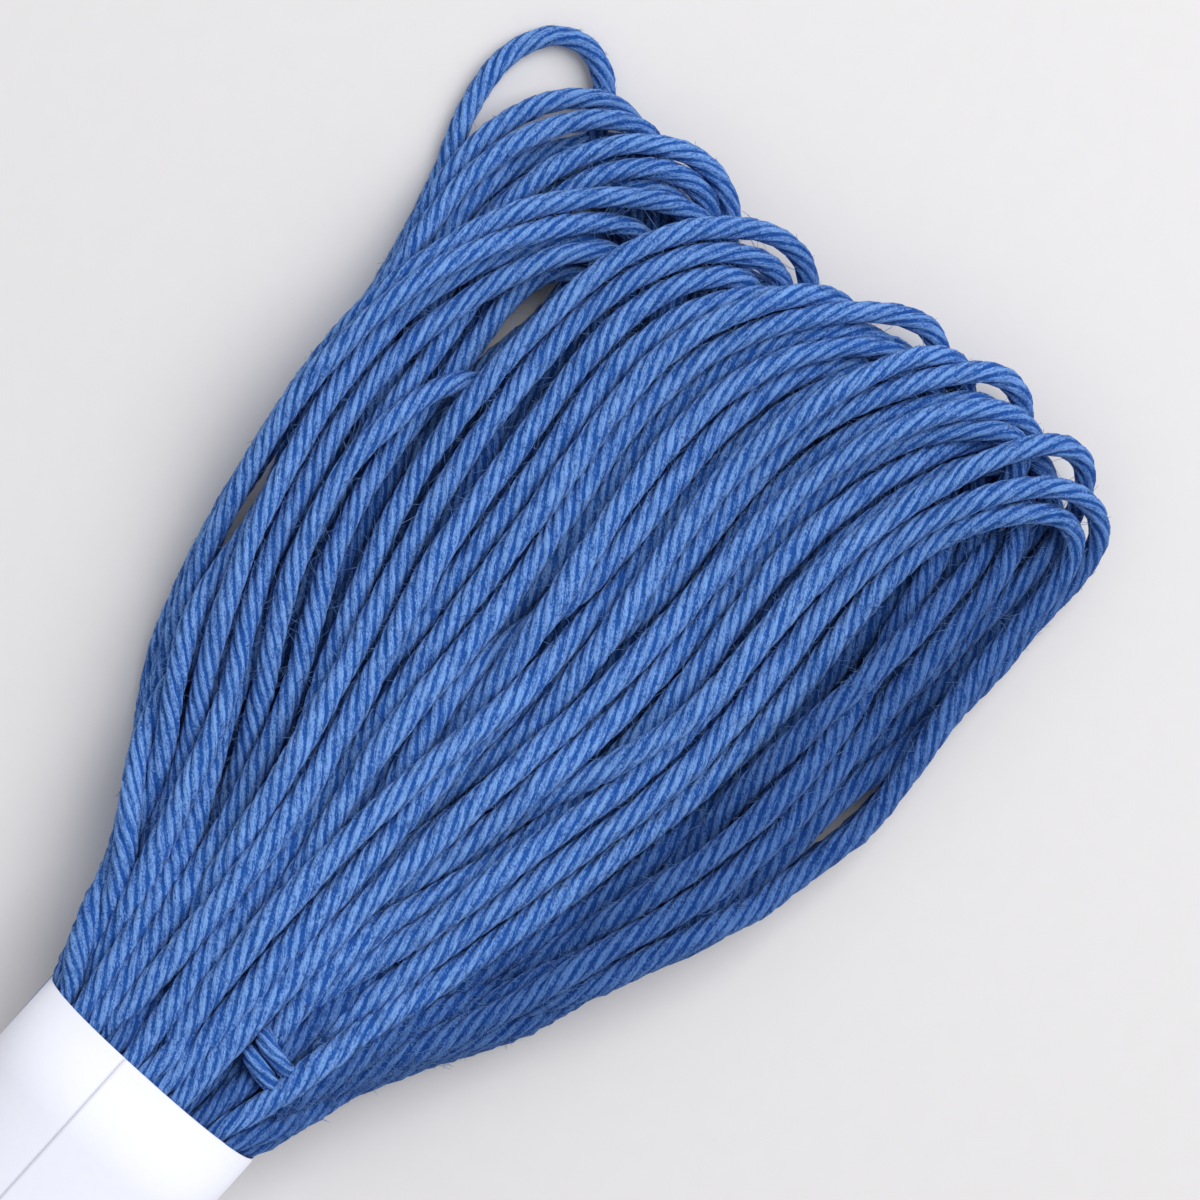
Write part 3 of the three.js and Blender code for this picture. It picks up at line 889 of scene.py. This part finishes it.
def add_piece(name, shape, material, node):
    """Makes a mesh object in metres from whole arrays, on the root body, that stands for its node."""
    mesh = bpy.data.meshes.new(name)
    mesh.vertices.add(len(shape["points"]))
    mesh.vertices.foreach_set("co", (shape["points"] * MM).astype(np.float32).ravel())
    mesh.loops.add(len(shape["corners"]))
    mesh.loops.foreach_set("vertex_index", shape["corners"].astype(np.int32))
    mesh.polygons.add(len(shape["sizes"]))
    starts = np.concatenate([[0], np.cumsum(shape["sizes"])[:-1]])
    mesh.polygons.foreach_set("loop_start", starts.astype(np.int32))
    mesh.polygons.foreach_set("use_smooth", np.ones(len(starts), bool))
    mesh.update(calc_edges=True)
    if mesh.validate():
        raise RuntimeError(f"{name} has faces that are not sound")
    layer = mesh.uv_layers.new(name="strand")
    layer.data.foreach_set("uv", shape["uv"].astype(np.float32).ravel())
    for key in STRAND_VALUES:
        if key in shape:
            values = mesh.attributes.new(key, "FLOAT", "POINT").data
            values.foreach_set("value", shape[key].astype(np.float32))
    mesh.materials.append(material)
    piece = bpy.data.objects.new(name, mesh)
    bpy.context.scene.collection.objects.link(piece)
    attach(piece, "root")
    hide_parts(node)


class Shade:
    """A value in a shader: arithmetic on it adds Math nodes, and make adds any other node."""

    def __init__(self, tree, socket=None):
        self.tree = tree
        self.socket = socket

    def make(self, kind, sockets, output=0, **choices):
        """Adds a node of a kind, sets its choices and then its sockets, and gives one of its outputs."""
        node = self.tree.nodes.new(kind)
        for choice, value in choices.items():
            setattr(node, choice, value)
        for key, value in sockets.items():
            if isinstance(value, Shade):
                self.tree.links.new(value.socket, node.inputs[key])
            else:
                node.inputs[key].default_value = value
        return Shade(self.tree, node.outputs[output])

    def math(self, operation, first, second):
        """One Math node."""
        return self.make("ShaderNodeMath", {0: first, 1: second}, operation=operation)

    def __add__(self, other):
        return self.math("ADD", self, other)

    def __radd__(self, other):
        return self.math("ADD", other, self)

    def __sub__(self, other):
        return self.math("SUBTRACT", self, other)

    def __rsub__(self, other):
        return self.math("SUBTRACT", other, self)

    def __mul__(self, other):
        return self.math("MULTIPLY", self, other)

    def __rmul__(self, other):
        return self.math("MULTIPLY", other, self)

    def __pow__(self, other):
        return self.math("POWER", self, other)

    def __rpow__(self, other):
        return self.math("POWER", other, self)


def new_material(name, **constants):
    """A material with one Principled shader, its named sockets set, and the start of its node maths."""
    material = bpy.data.materials.new(name)
    material.use_nodes = True
    tree = material.node_tree
    shader = tree.nodes["Principled BSDF"]
    for key, value in constants.items():
        shader.inputs[key.replace("_", " ")].default_value = value
    return material, Shade(tree), shader


def feed(shader, **values):
    """Links values into the shader's sockets of those names."""
    for key, value in values.items():
        value.tree.links.new(value.socket, shader.inputs[key.replace("_", " ")])


def mix_colours(shade, factor, first, second, **choices):
    """Mixes two colours by a factor, with a Mix node, whose colour sockets are 6 and 7."""
    sockets = {"Factor": factor, 6: first, 7: second}
    return shade.make("ShaderNodeMix", sockets, output=2, data_type="RGBA", **choices)


def strand_noise(shade, place, stretch, **sockets):
    """Noise on a strand, with its place round it, along it and from strand to strand stretched."""
    stretched = {axis: part * factor for axis, (part, factor) in enumerate(zip(place, stretch))}
    vector = shade.make("ShaderNodeCombineXYZ", stretched)
    return shade.make("ShaderNodeTexNoise", {"Vector": vector, "Scale": 1.0, **sockets})


# Stretch of the cotton's fibre streaks, of its paler patches and of its fuzz.
STREAKS = (26.0, 1.5, 97.0)
PATCHES = (5.0, 0.4, 31.0)
FUZZ = (44.0, 12.0, 11.0)

# How far streaks, fuzz and patches make the cotton pale, how far grooves and cover make it deep as painted
# shade, and how deep the dye makes it.
STREAKS_PALE = 3.3
FUZZ_PALE = 2.1
PATCHES_PALE = 0.9
GROOVE_PAINTED_SHADE = 0.85
COVER_PAINTED_SHADE = 0.25
DYE_DEEP = 2.42


def cotton_material():
    """Dyed cotton, streaked by fibres along the plies: pale on the crown of a ply, with painted shade deep in
    its grooves.

    The mix of pale and deep is a weighed sum of three noises, the squared cosine groove and the cover, and
    the groove and cover terms paint shade where plies and other strands would shadow it.
    """
    if "blue cotton" in bpy.data.materials:
        return bpy.data.materials["blue cotton"]
    colours = settings().colours
    material, shade, shader = new_material(
        "blue cotton",
        Roughness=1.0,
        Specular_IOR_Level=0.05,
        Sheen_Weight=0.1,
        Sheen_Tint=(0.5, 0.65, 1, 1),
    )
    strand = shade.make("ShaderNodeUVMap", {}, uv_map="strand")
    around, run = (shade.make("ShaderNodeSeparateXYZ", {0: strand}, output=axis) for axis in (0, 1))
    tone, cover, shaded = (
        shade.make("ShaderNodeAttribute", {}, output=2, attribute_name=key) for key in STRAND_VALUES
    )
    ply_turn = around * (2 * math.pi * settings().thread.plies)
    groove = (0.5 + 0.5 * shade.math("COSINE", ply_turn, 0.0)) ** 2.0
    place = (around, run, tone)
    streaks = strand_noise(shade, place, STREAKS, Detail=4.0, Roughness=0.75)
    patches = strand_noise(shade, place, PATCHES, Detail=2.0)
    fuzz = strand_noise(shade, place, FUZZ, Detail=2.0)
    pale = streaks * STREAKS_PALE + fuzz * FUZZ_PALE + patches * PATCHES_PALE
    # Grooves and cover take from the pale side as painted shade.
    pale = pale - groove * GROOVE_PAINTED_SHADE - cover * COVER_PAINTED_SHADE - DYE_DEEP
    colour = mix_colours(shade, pale, (*colours.cotton_deep_and_shade, 1), (*colours.cotton, 1), clamp_factor=True)
    colour = mix_colours(shade, shaded, colour, (*colours.cotton_shaded, 1), blend_type="MULTIPLY")
    bump = shade.make("ShaderNodeBump", {"Height": streaks, "Strength": 0.9, "Distance": 0.00012})
    feed(shader, Base_Color=colour, Normal=bump)
    return material


# How far the paper and floor are dulled between their fibres and grains.
PAPER_DULL = 0.94
FLOOR_DULL = 0.97


def paper_material():
    """Plain white paper with faint fibres and a faint unevenness."""
    white = settings().colours.paper
    grey = [PAPER_DULL * part for part in white]
    material, shade, shader = new_material("white paper", Roughness=0.62, Specular_IOR_Level=0.3)
    place = shade.make("ShaderNodeTexCoord", {}, output=3)
    fibres = shade.make("ShaderNodeTexNoise", {"Vector": place, "Scale": 2600.0, "Detail": 4.0})
    cloud = shade.make("ShaderNodeTexNoise", {"Vector": place, "Scale": 160.0, "Detail": 2.0})
    pale = fibres * 0.5 + cloud * 0.5
    bump = shade.make("ShaderNodeBump", {"Height": fibres, "Strength": 0.2, "Distance": 0.00004})
    colour = mix_colours(shade, pale, (*grey, 1), (*white, 1), clamp_factor=True)
    feed(shader, Base_Color=colour, Normal=bump)
    return material


def floor_material():
    """A plain pale matt floor with a faint grain."""
    pale = settings().colours.floor
    grey = [FLOOR_DULL * part for part in pale]
    material, shade, shader = new_material("pale floor", Roughness=0.85, Specular_IOR_Level=0.2)
    place = shade.make("ShaderNodeTexCoord", {}, output=3)
    grain = shade.make("ShaderNodeTexNoise", {"Vector": place, "Scale": 900.0, "Detail": 3.0})
    feed(shader, Base_Color=mix_colours(shade, grain, (*grey, 1), (*pale, 1)))
    return material


# Rings of a strand on top of the fan and inside it.
CROWN_RINGS = 200
HIDDEN_RINGS = 120

# Share by which the strands are drawn thicker just past the mouth, where they are pressed into one another,
# the distance over which that starts, and where and over which distance it ends.
PRESSED_IN = 0.16
PRESSED_EASE = 2
PRESSED_TO = 4
PRESSED_END = 8


def strand_shape(paths, rings, chance):
    """Tubes of some loops of a fan, each with one far ring at the middle of the band at either end.

    A path holds its place, its cover from four sides, its shade and its flatness.
    """
    middles = rings_along(paths, rings)
    inside = middles[:, [0, -1]].copy()
    inside[..., 0] = 0
    middles = np.concatenate([inside[:, :1], middles, inside[:, 1:]], axis=1)
    along = np.abs(middles[..., 0]) - MOUTH
    pressed = ramp(along / PRESSED_EASE) * (1 - ramp((along - PRESSED_TO) / PRESSED_END))
    radii = thread_radius(along) * (1 + PRESSED_IN * pressed)
    phases = chance.uniform(0, 2 * math.pi, len(paths))
    place, cover, shaded, flatness = np.split(middles, [3, 7, 8], axis=-1)
    return tubes(place, radii, ply_section(), phases, cover, shaded[..., 0], flatness)


def lay_fan(end):
    """Adds the strands of a fan: its crown in two halves, its core and its base."""
    paths, decks, _ = fan_strands(end)
    extras = np.stack([strand_shade(end), strand_flatness(end)], axis=-1)
    paths = np.concatenate([in_frame(paths, end), fan_cover(end), extras], axis=-1)
    chance = np.random.default_rng(SEEDS[end]["twist"])
    base, core, crown = (np.flatnonzero(decks == deck) for deck in (0, 1, 2))
    half = len(crown) // 2
    groups = (
        ("crown_left", crown[:half], CROWN_RINGS),
        ("crown_right", crown[half:], CROWN_RINGS),
        ("core", core, HIDDEN_RINGS),
        ("base", base, HIDDEN_RINGS),
    )
    for name, members, rings in groups:
        shape = strand_shape(paths[members], rings, chance)
        add_piece(f"{end}_{name}", shape, cotton_material(), "hank")


class SKEIN_OT_fans(bpy.types.Operator):
    """Lays the loops of both fans, wound, settled and plied"""

    bl_idname = "skein.fans"
    bl_label = "Lay fans"

    def execute(self, context):
        for end in ENDS:
            lay_fan(end)
        return {"FINISHED"}


class SKEIN_OT_tie(bpy.types.Operator):
    """Winds the two strands of the tie round the right-hand part of the hank"""

    bl_idname = "skein.tie"
    bl_label = "Wind tie"

    def execute(self, context):
        rounds = np.array(tie_rounds())
        closed = np.concatenate([rounds, rounds[:, :1]], axis=1)
        middles = in_frame(rings_along(closed, TIE_RINGS), "front")
        radii = np.full(middles.shape[:2], tie_radius())
        # The tie's cotton is darkened all round by painted shade.
        shape = tubes(middles, radii, ply_section(), TIE_TURNS, np.full(4, TIE_PAINTED_SHADE))
        add_piece("tie_strands", shape, cotton_material(), "tie")
        return {"FINISHED"}


# Loose fibres: sides, rings, radius at the root and its loss to the tip, and a cover below none, which paints
# them paler as painted light. Then bounds of their turn round the strand and lean along it, their curl and
# spread of lengths, the longest, and the share that one at the fan's outline keeps.
FIBRE_SIDES = 3
FIBRE_RINGS = 3
FIBRE_RADIUS = 0.014
FIBRE_TAPER = 0.5
FIBRE_PAINTED_LIGHT = -2.0
FIBRE_TURN = (0.3, 1.7)
FIBRE_LEAN = (0.2, 1.2)
FIBRE_CURL = 0.6
FIBRE_SPREAD = 4
LONGEST_FIBRE = 1.1
EDGE_LENGTH = 0.25

# Where fibres start, as a share of the strand's radius, how steeply they rise, and their least height.
FIBRE_START = 0.9
FIBRE_RISE = 0.6
FIBRE_FLOOR = 0.03

# Square cells seen from above, draws for each root, and nodes left bare at a loop's ends.
CELL = 0.6
ROOT_DRAWS = 12
BARE_NODES = 8

# The felted patch on the front fan's right edge past the tie: where it runs along, how far in it reaches,
# its number of fibres, and how much longer they are.
FELT_ALONG = (1.5, 9.5)
FELT_DEPTH = 1.9
FELT_FIBRES = 1800
FELT_LENGTH = 1.9


def open_roots(paths, count, chance):
    """Loop and node of places where fibres can be seen, which lie close under the top of their cell."""
    loop = chance.integers(0, len(paths), ROOT_DRAWS * count)
    node = chance.integers(BARE_NODES, paths.shape[1] - BARE_NODES, ROOT_DRAWS * count)
    place = paths[loop, node]
    cell = np.floor(place[:, :2] / CELL).astype(int)
    cell -= cell.min(axis=0)
    top = np.zeros(cell.max(axis=0) + 1)
    np.maximum.at(top, tuple(cell.T), place[:, 2])
    seen = np.flatnonzero(place[:, 2] > top[tuple(cell.T)] - CELL)[:count]
    return loop[seen], node[seen]


def felted_roots(paths, chance):
    """Loop and node of random places in the felted patch."""
    along, across, _ = np.moveaxis(paths, -1, 0)
    felted = across > np.interp(along, FAN_ALONG, FAN_RIGHT) - FELT_DEPTH
    places = np.argwhere(felted & (along > FELT_ALONG[0]) & (along < FELT_ALONG[1]))
    return places[chance.integers(0, len(places), FELT_FIBRES)].T


def over_strands(paths, places):
    """Whether places lie over some strand, in square cells seen from above."""
    cells = np.floor(paths[..., :2] / CELL).astype(int).reshape(-1, 2)
    low, high = cells.min(axis=0), cells.max(axis=0)
    filled = np.zeros(high - low + 3, bool)
    filled[tuple((cells - low + 1).T)] = True
    asked = np.clip(np.floor(places[:, :2] / CELL).astype(int), low - 1, high + 1)
    return filled[tuple((asked - low + 1).T)]


def fibre_shape(end):
    """Loose fibres of a fan: thin tubes that leave a strand's surface, lean along it and curl over.

    A fibre's middle line is its root plus its length times a share along its aim, plus half the share
    squared along a curl, and its thickness falls towards the tip. One that would reach past the strands
    is kept short.
    """
    thread = settings().thread
    chance = np.random.default_rng(SEEDS[end]["fibres"])
    paths, *_ = fan_strands(end)
    loop, node = open_roots(paths, thread.fibres, chance)
    stretch = np.ones((len(loop), 1))
    if end == "front":
        loop, node = np.concatenate([[loop, node], felted_roots(paths, chance)], axis=1)
        stretch = np.concatenate([stretch, np.full((FELT_FIBRES, 1), FELT_LENGTH)])
    one_each = (len(loop), 1)
    root = paths[loop, node]
    heading = unit(paths[loop, node + 1] - paths[loop, node - 1])
    sideways = unit(np.cross(heading, [0, 0, 1.0]))
    upward = np.cross(sideways, heading)
    turn = chance.choice([-1, 1], one_each) * chance.uniform(*FIBRE_TURN, one_each)
    outward = upward * np.cos(turn) + sideways * np.sin(turn)
    lean = chance.choice([-1, 1], one_each) * chance.uniform(*FIBRE_LEAN, one_each)
    curl = chance.normal(0, FIBRE_CURL, (len(loop), 3))
    length = chance.gamma(FIBRE_SPREAD, thread.fibre_length / MM / FIBRE_SPREAD, one_each)
    length = np.minimum(length, LONGEST_FIBRE) * stretch
    start = root + outward * thread_radius(root[:, :1]) * FIBRE_START
    aim = unit(outward * FIBRE_RISE + heading * lean)
    inside = over_strands(paths, start + length * (aim + 0.5 * curl))
    length = length * np.where(inside, 1, EDGE_LENGTH)[:, None]
    share = np.linspace(0, 1, FIBRE_RINGS)[None, :, None]
    middles = start[:, None] + length[:, None] * (aim[:, None] * share + 0.5 * curl[:, None] * share**2)
    middles[..., 2] = np.maximum(middles[..., 2], FIBRE_FLOOR)
    radii = FIBRE_RADIUS * (1 - FIBRE_TAPER * share[..., 0]) * np.ones(one_each)
    section = (np.arange(FIBRE_SIDES) * 2 * math.pi / FIBRE_SIDES, np.ones(FIBRE_SIDES))
    phases = chance.uniform(0, 2 * math.pi, len(loop))
    # The fibres are made paler all round by painted light.
    return tubes(in_frame(middles, end), radii, section, phases, np.full(4, FIBRE_PAINTED_LIGHT))


class SKEIN_OT_fibres(bpy.types.Operator):
    """Raises the loose fibres of both fans"""

    bl_idname = "skein.fibres"
    bl_label = "Raise fibres"

    def execute(self, context):
        for end in ENDS:
            add_piece(f"{end}_fibres", fibre_shape(end), cotton_material(), "hank")
        return {"FINISHED"}


# The band's sheet: points round it and along it, how far it sinks beyond its lap, as a share of its
# thickness, and the length over which it does.
SHEET_POINTS = 260
SHEET_COLUMNS = 13
LAP_SINK = 1.15
LAP_EASE = 6


def band_outline():
    """Closed outline of the band's sheet: out along the paper's outer side and back along its inner side.

    The paper is a superellipse wound once round and on under its own lap. It starts at the lap's edge on
    top, goes over the right side, the floor and the left side, and ends under its own start. The start
    is raised by the paper's thickness and sinks away beyond the lap.
    """
    paper = settings().paper
    sizes = (paper.thickness, paper.lap_edge, paper.lap_reach)
    thickness, lap_edge, lap_reach = (size / MM for size in sizes)
    half_width = (BAND_HIGH[1] - BAND_LOW[1]) / 2
    half_height = (BAND_HIGH[2] - BAND_LOW[2]) / 2
    ring, run = superellipse(half_width, half_height, BAND_SQUARENESS, FINE_ROUND)
    girth = run[-1]
    sheet_run = np.linspace(-lap_edge, girth - lap_edge + lap_reach, SHEET_POINTS)
    section = np.stack([np.interp(sheet_run, run, ring[:, axis], period=girth) for axis in (0, 1)], axis=1)
    heading = np.gradient(section, axis=0)
    outward = unit(np.stack([-heading[:, 1], heading[:, 0]], axis=1))
    sunk = LAP_SINK * thickness * ramp((sheet_run - lap_reach) / LAP_EASE)
    outer, inner = (section - outward * (sunk + depth)[:, None] for depth in (0, thickness))
    return np.concatenate([outer, inner[::-1]])


class SKEIN_OT_band(bpy.types.Operator):
    """Wraps the paper band, one thin sheet with its lap on top"""

    bl_idname = "skein.band"
    bl_label = "Wrap band"

    def execute(self, context):
        outline = band_outline()
        count = len(outline)
        grid = np.empty((SHEET_COLUMNS, count, 3))
        grid[..., 0] = np.linspace(BAND_LOW[0], BAND_HIGH[0], SHEET_COLUMNS)[:, None]
        grid[..., 1] = MIDLINE - outline[:, 0]
        grid[..., 2] = BAND_MIDDLE + outline[:, 1]
        index = np.arange(SHEET_COLUMNS * count).reshape(-1, count)
        following = np.roll(index, -1, axis=1)
        walls = np.stack([index[:-1], index[1:], following[1:], following[:-1]], axis=-1).reshape(-1, 4)
        rows = np.arange(SHEET_POINTS - 1)
        strip = np.stack([rows, rows + 1, count - 2 - rows, count - 1 - rows], axis=-1)
        faces = np.concatenate([walls, index[0][strip], index[-1][strip[:, ::-1]]])
        points = grid.reshape(-1, 3)
        shape = {
            "points": points,
            "corners": faces.ravel(),
            "sizes": np.full(len(faces), 4),
            "uv": points[faces.ravel()][:, :2],
        }
        add_piece("band_sheet", shape, paper_material(), "paper_band")
        return {"FINISHED"}


# The stage in metres: half the floor's side, the camera's sensor in millimetres, its nearest distance
# and the level its height is measured from, the key light's size and place from the view's middle,
# and the sky's colour.
FLOOR_HALF = 1.5
SENSOR = 36
NEAREST = 0.01
SKEIN_LEVEL = 0.004
KEY_SIZE = 0.34
KEY_PLACE = (0.24, -0.08, 0.3)
SKY_COLOUR = (0.95, 0.97, 1, 1)


class SKEIN_OT_stage(bpy.types.Operator):
    """Adds the floor, the soft light and the camera over the front fan"""

    bl_idname = "skein.stage"
    bl_label = "Set stage"

    def execute(self, context):
        stage = settings().stage
        scene = context.scene
        corners = [(FLOOR_HALF * x, FLOOR_HALF * y, 0) for x, y in ((-1, -1), (1, -1), (1, 1), (-1, 1))]
        mesh = bpy.data.meshes.new("floor")
        mesh.from_pydata(corners, [], [(0, 1, 2, 3)])
        mesh.materials.append(floor_material())
        floor = bpy.data.objects.new("floor", mesh)
        scene.collection.objects.link(floor)
        middle = np.array([MOUTH * MM + stage.view_along, MIDLINE * MM - stage.view_across, 0])
        camera = bpy.data.objects.new("camera", bpy.data.cameras.new("camera"))
        camera.data.sensor_width = SENSOR
        camera.data.lens = SENSOR * stage.height / stage.view_width
        camera.data.clip_start = NEAREST
        camera.location = (*middle[:2], stage.height + SKEIN_LEVEL)
        camera.rotation_euler = (0, 0, -stage.roll)
        scene.collection.objects.link(camera)
        scene.camera = camera
        light = bpy.data.lights.new("key", "AREA")
        light.energy = stage.key
        light.size = KEY_SIZE
        lamp = bpy.data.objects.new("key", light)
        lamp.location = middle + KEY_PLACE
        tilt = math.acos(KEY_PLACE[2] / np.linalg.norm(KEY_PLACE))
        lamp.rotation_euler = (tilt, 0, math.atan2(-KEY_PLACE[1], -KEY_PLACE[0]) - math.pi / 2)
        scene.collection.objects.link(lamp)
        world = bpy.data.worlds.new("studio")
        world.use_nodes = True
        background = world.node_tree.nodes["Background"]
        background.inputs["Color"].default_value = SKY_COLOUR
        background.inputs["Strength"].default_value = stage.sky
        scene.world = world
        scene.view_settings.view_transform = "Standard"
        return {"FINISHED"}


class SKEIN_PT_panel(bpy.types.Panel):
    """Lists the skein's operators and settings"""

    bl_idname = "SKEIN_PT_panel"
    bl_label = "Skein"
    bl_space_type = "VIEW_3D"
    bl_region_type = "UI"
    bl_category = "Skein"

    def draw(self, context):
        for operator in OPERATORS:
            self.layout.operator(operator.bl_idname)
        skein = context.scene.skein
        for group in (skein.thread, skein.paper, skein.colours, skein.stage):
            for key in group.__annotations__:
                self.layout.prop(group, key)


OPERATORS = (SKEIN_OT_fans, SKEIN_OT_tie, SKEIN_OT_fibres, SKEIN_OT_band, SKEIN_OT_stage)
CLASSES = (SkeinThread, SkeinPaper, SkeinColours, SkeinStage, SkeinSettings, *OPERATORS, SKEIN_PT_panel)


def register():
    """Registers the classes and hangs the settings on the scene."""
    for kind in CLASSES:
        bpy.utils.register_class(kind)
    bpy.types.Scene.skein = PointerProperty(type=SkeinSettings)


def unregister():
    """Takes the settings and classes away again."""
    del bpy.types.Scene.skein
    for kind in reversed(CLASSES):
        bpy.utils.unregister_class(kind)


def main():
    """Builds the dressed skein."""
    register()
    bpy.ops.skein.fans()
    bpy.ops.skein.tie()
    bpy.ops.skein.fibres()
    bpy.ops.skein.band()
    bpy.ops.skein.stage()


if __name__ == "__main__":
    main()
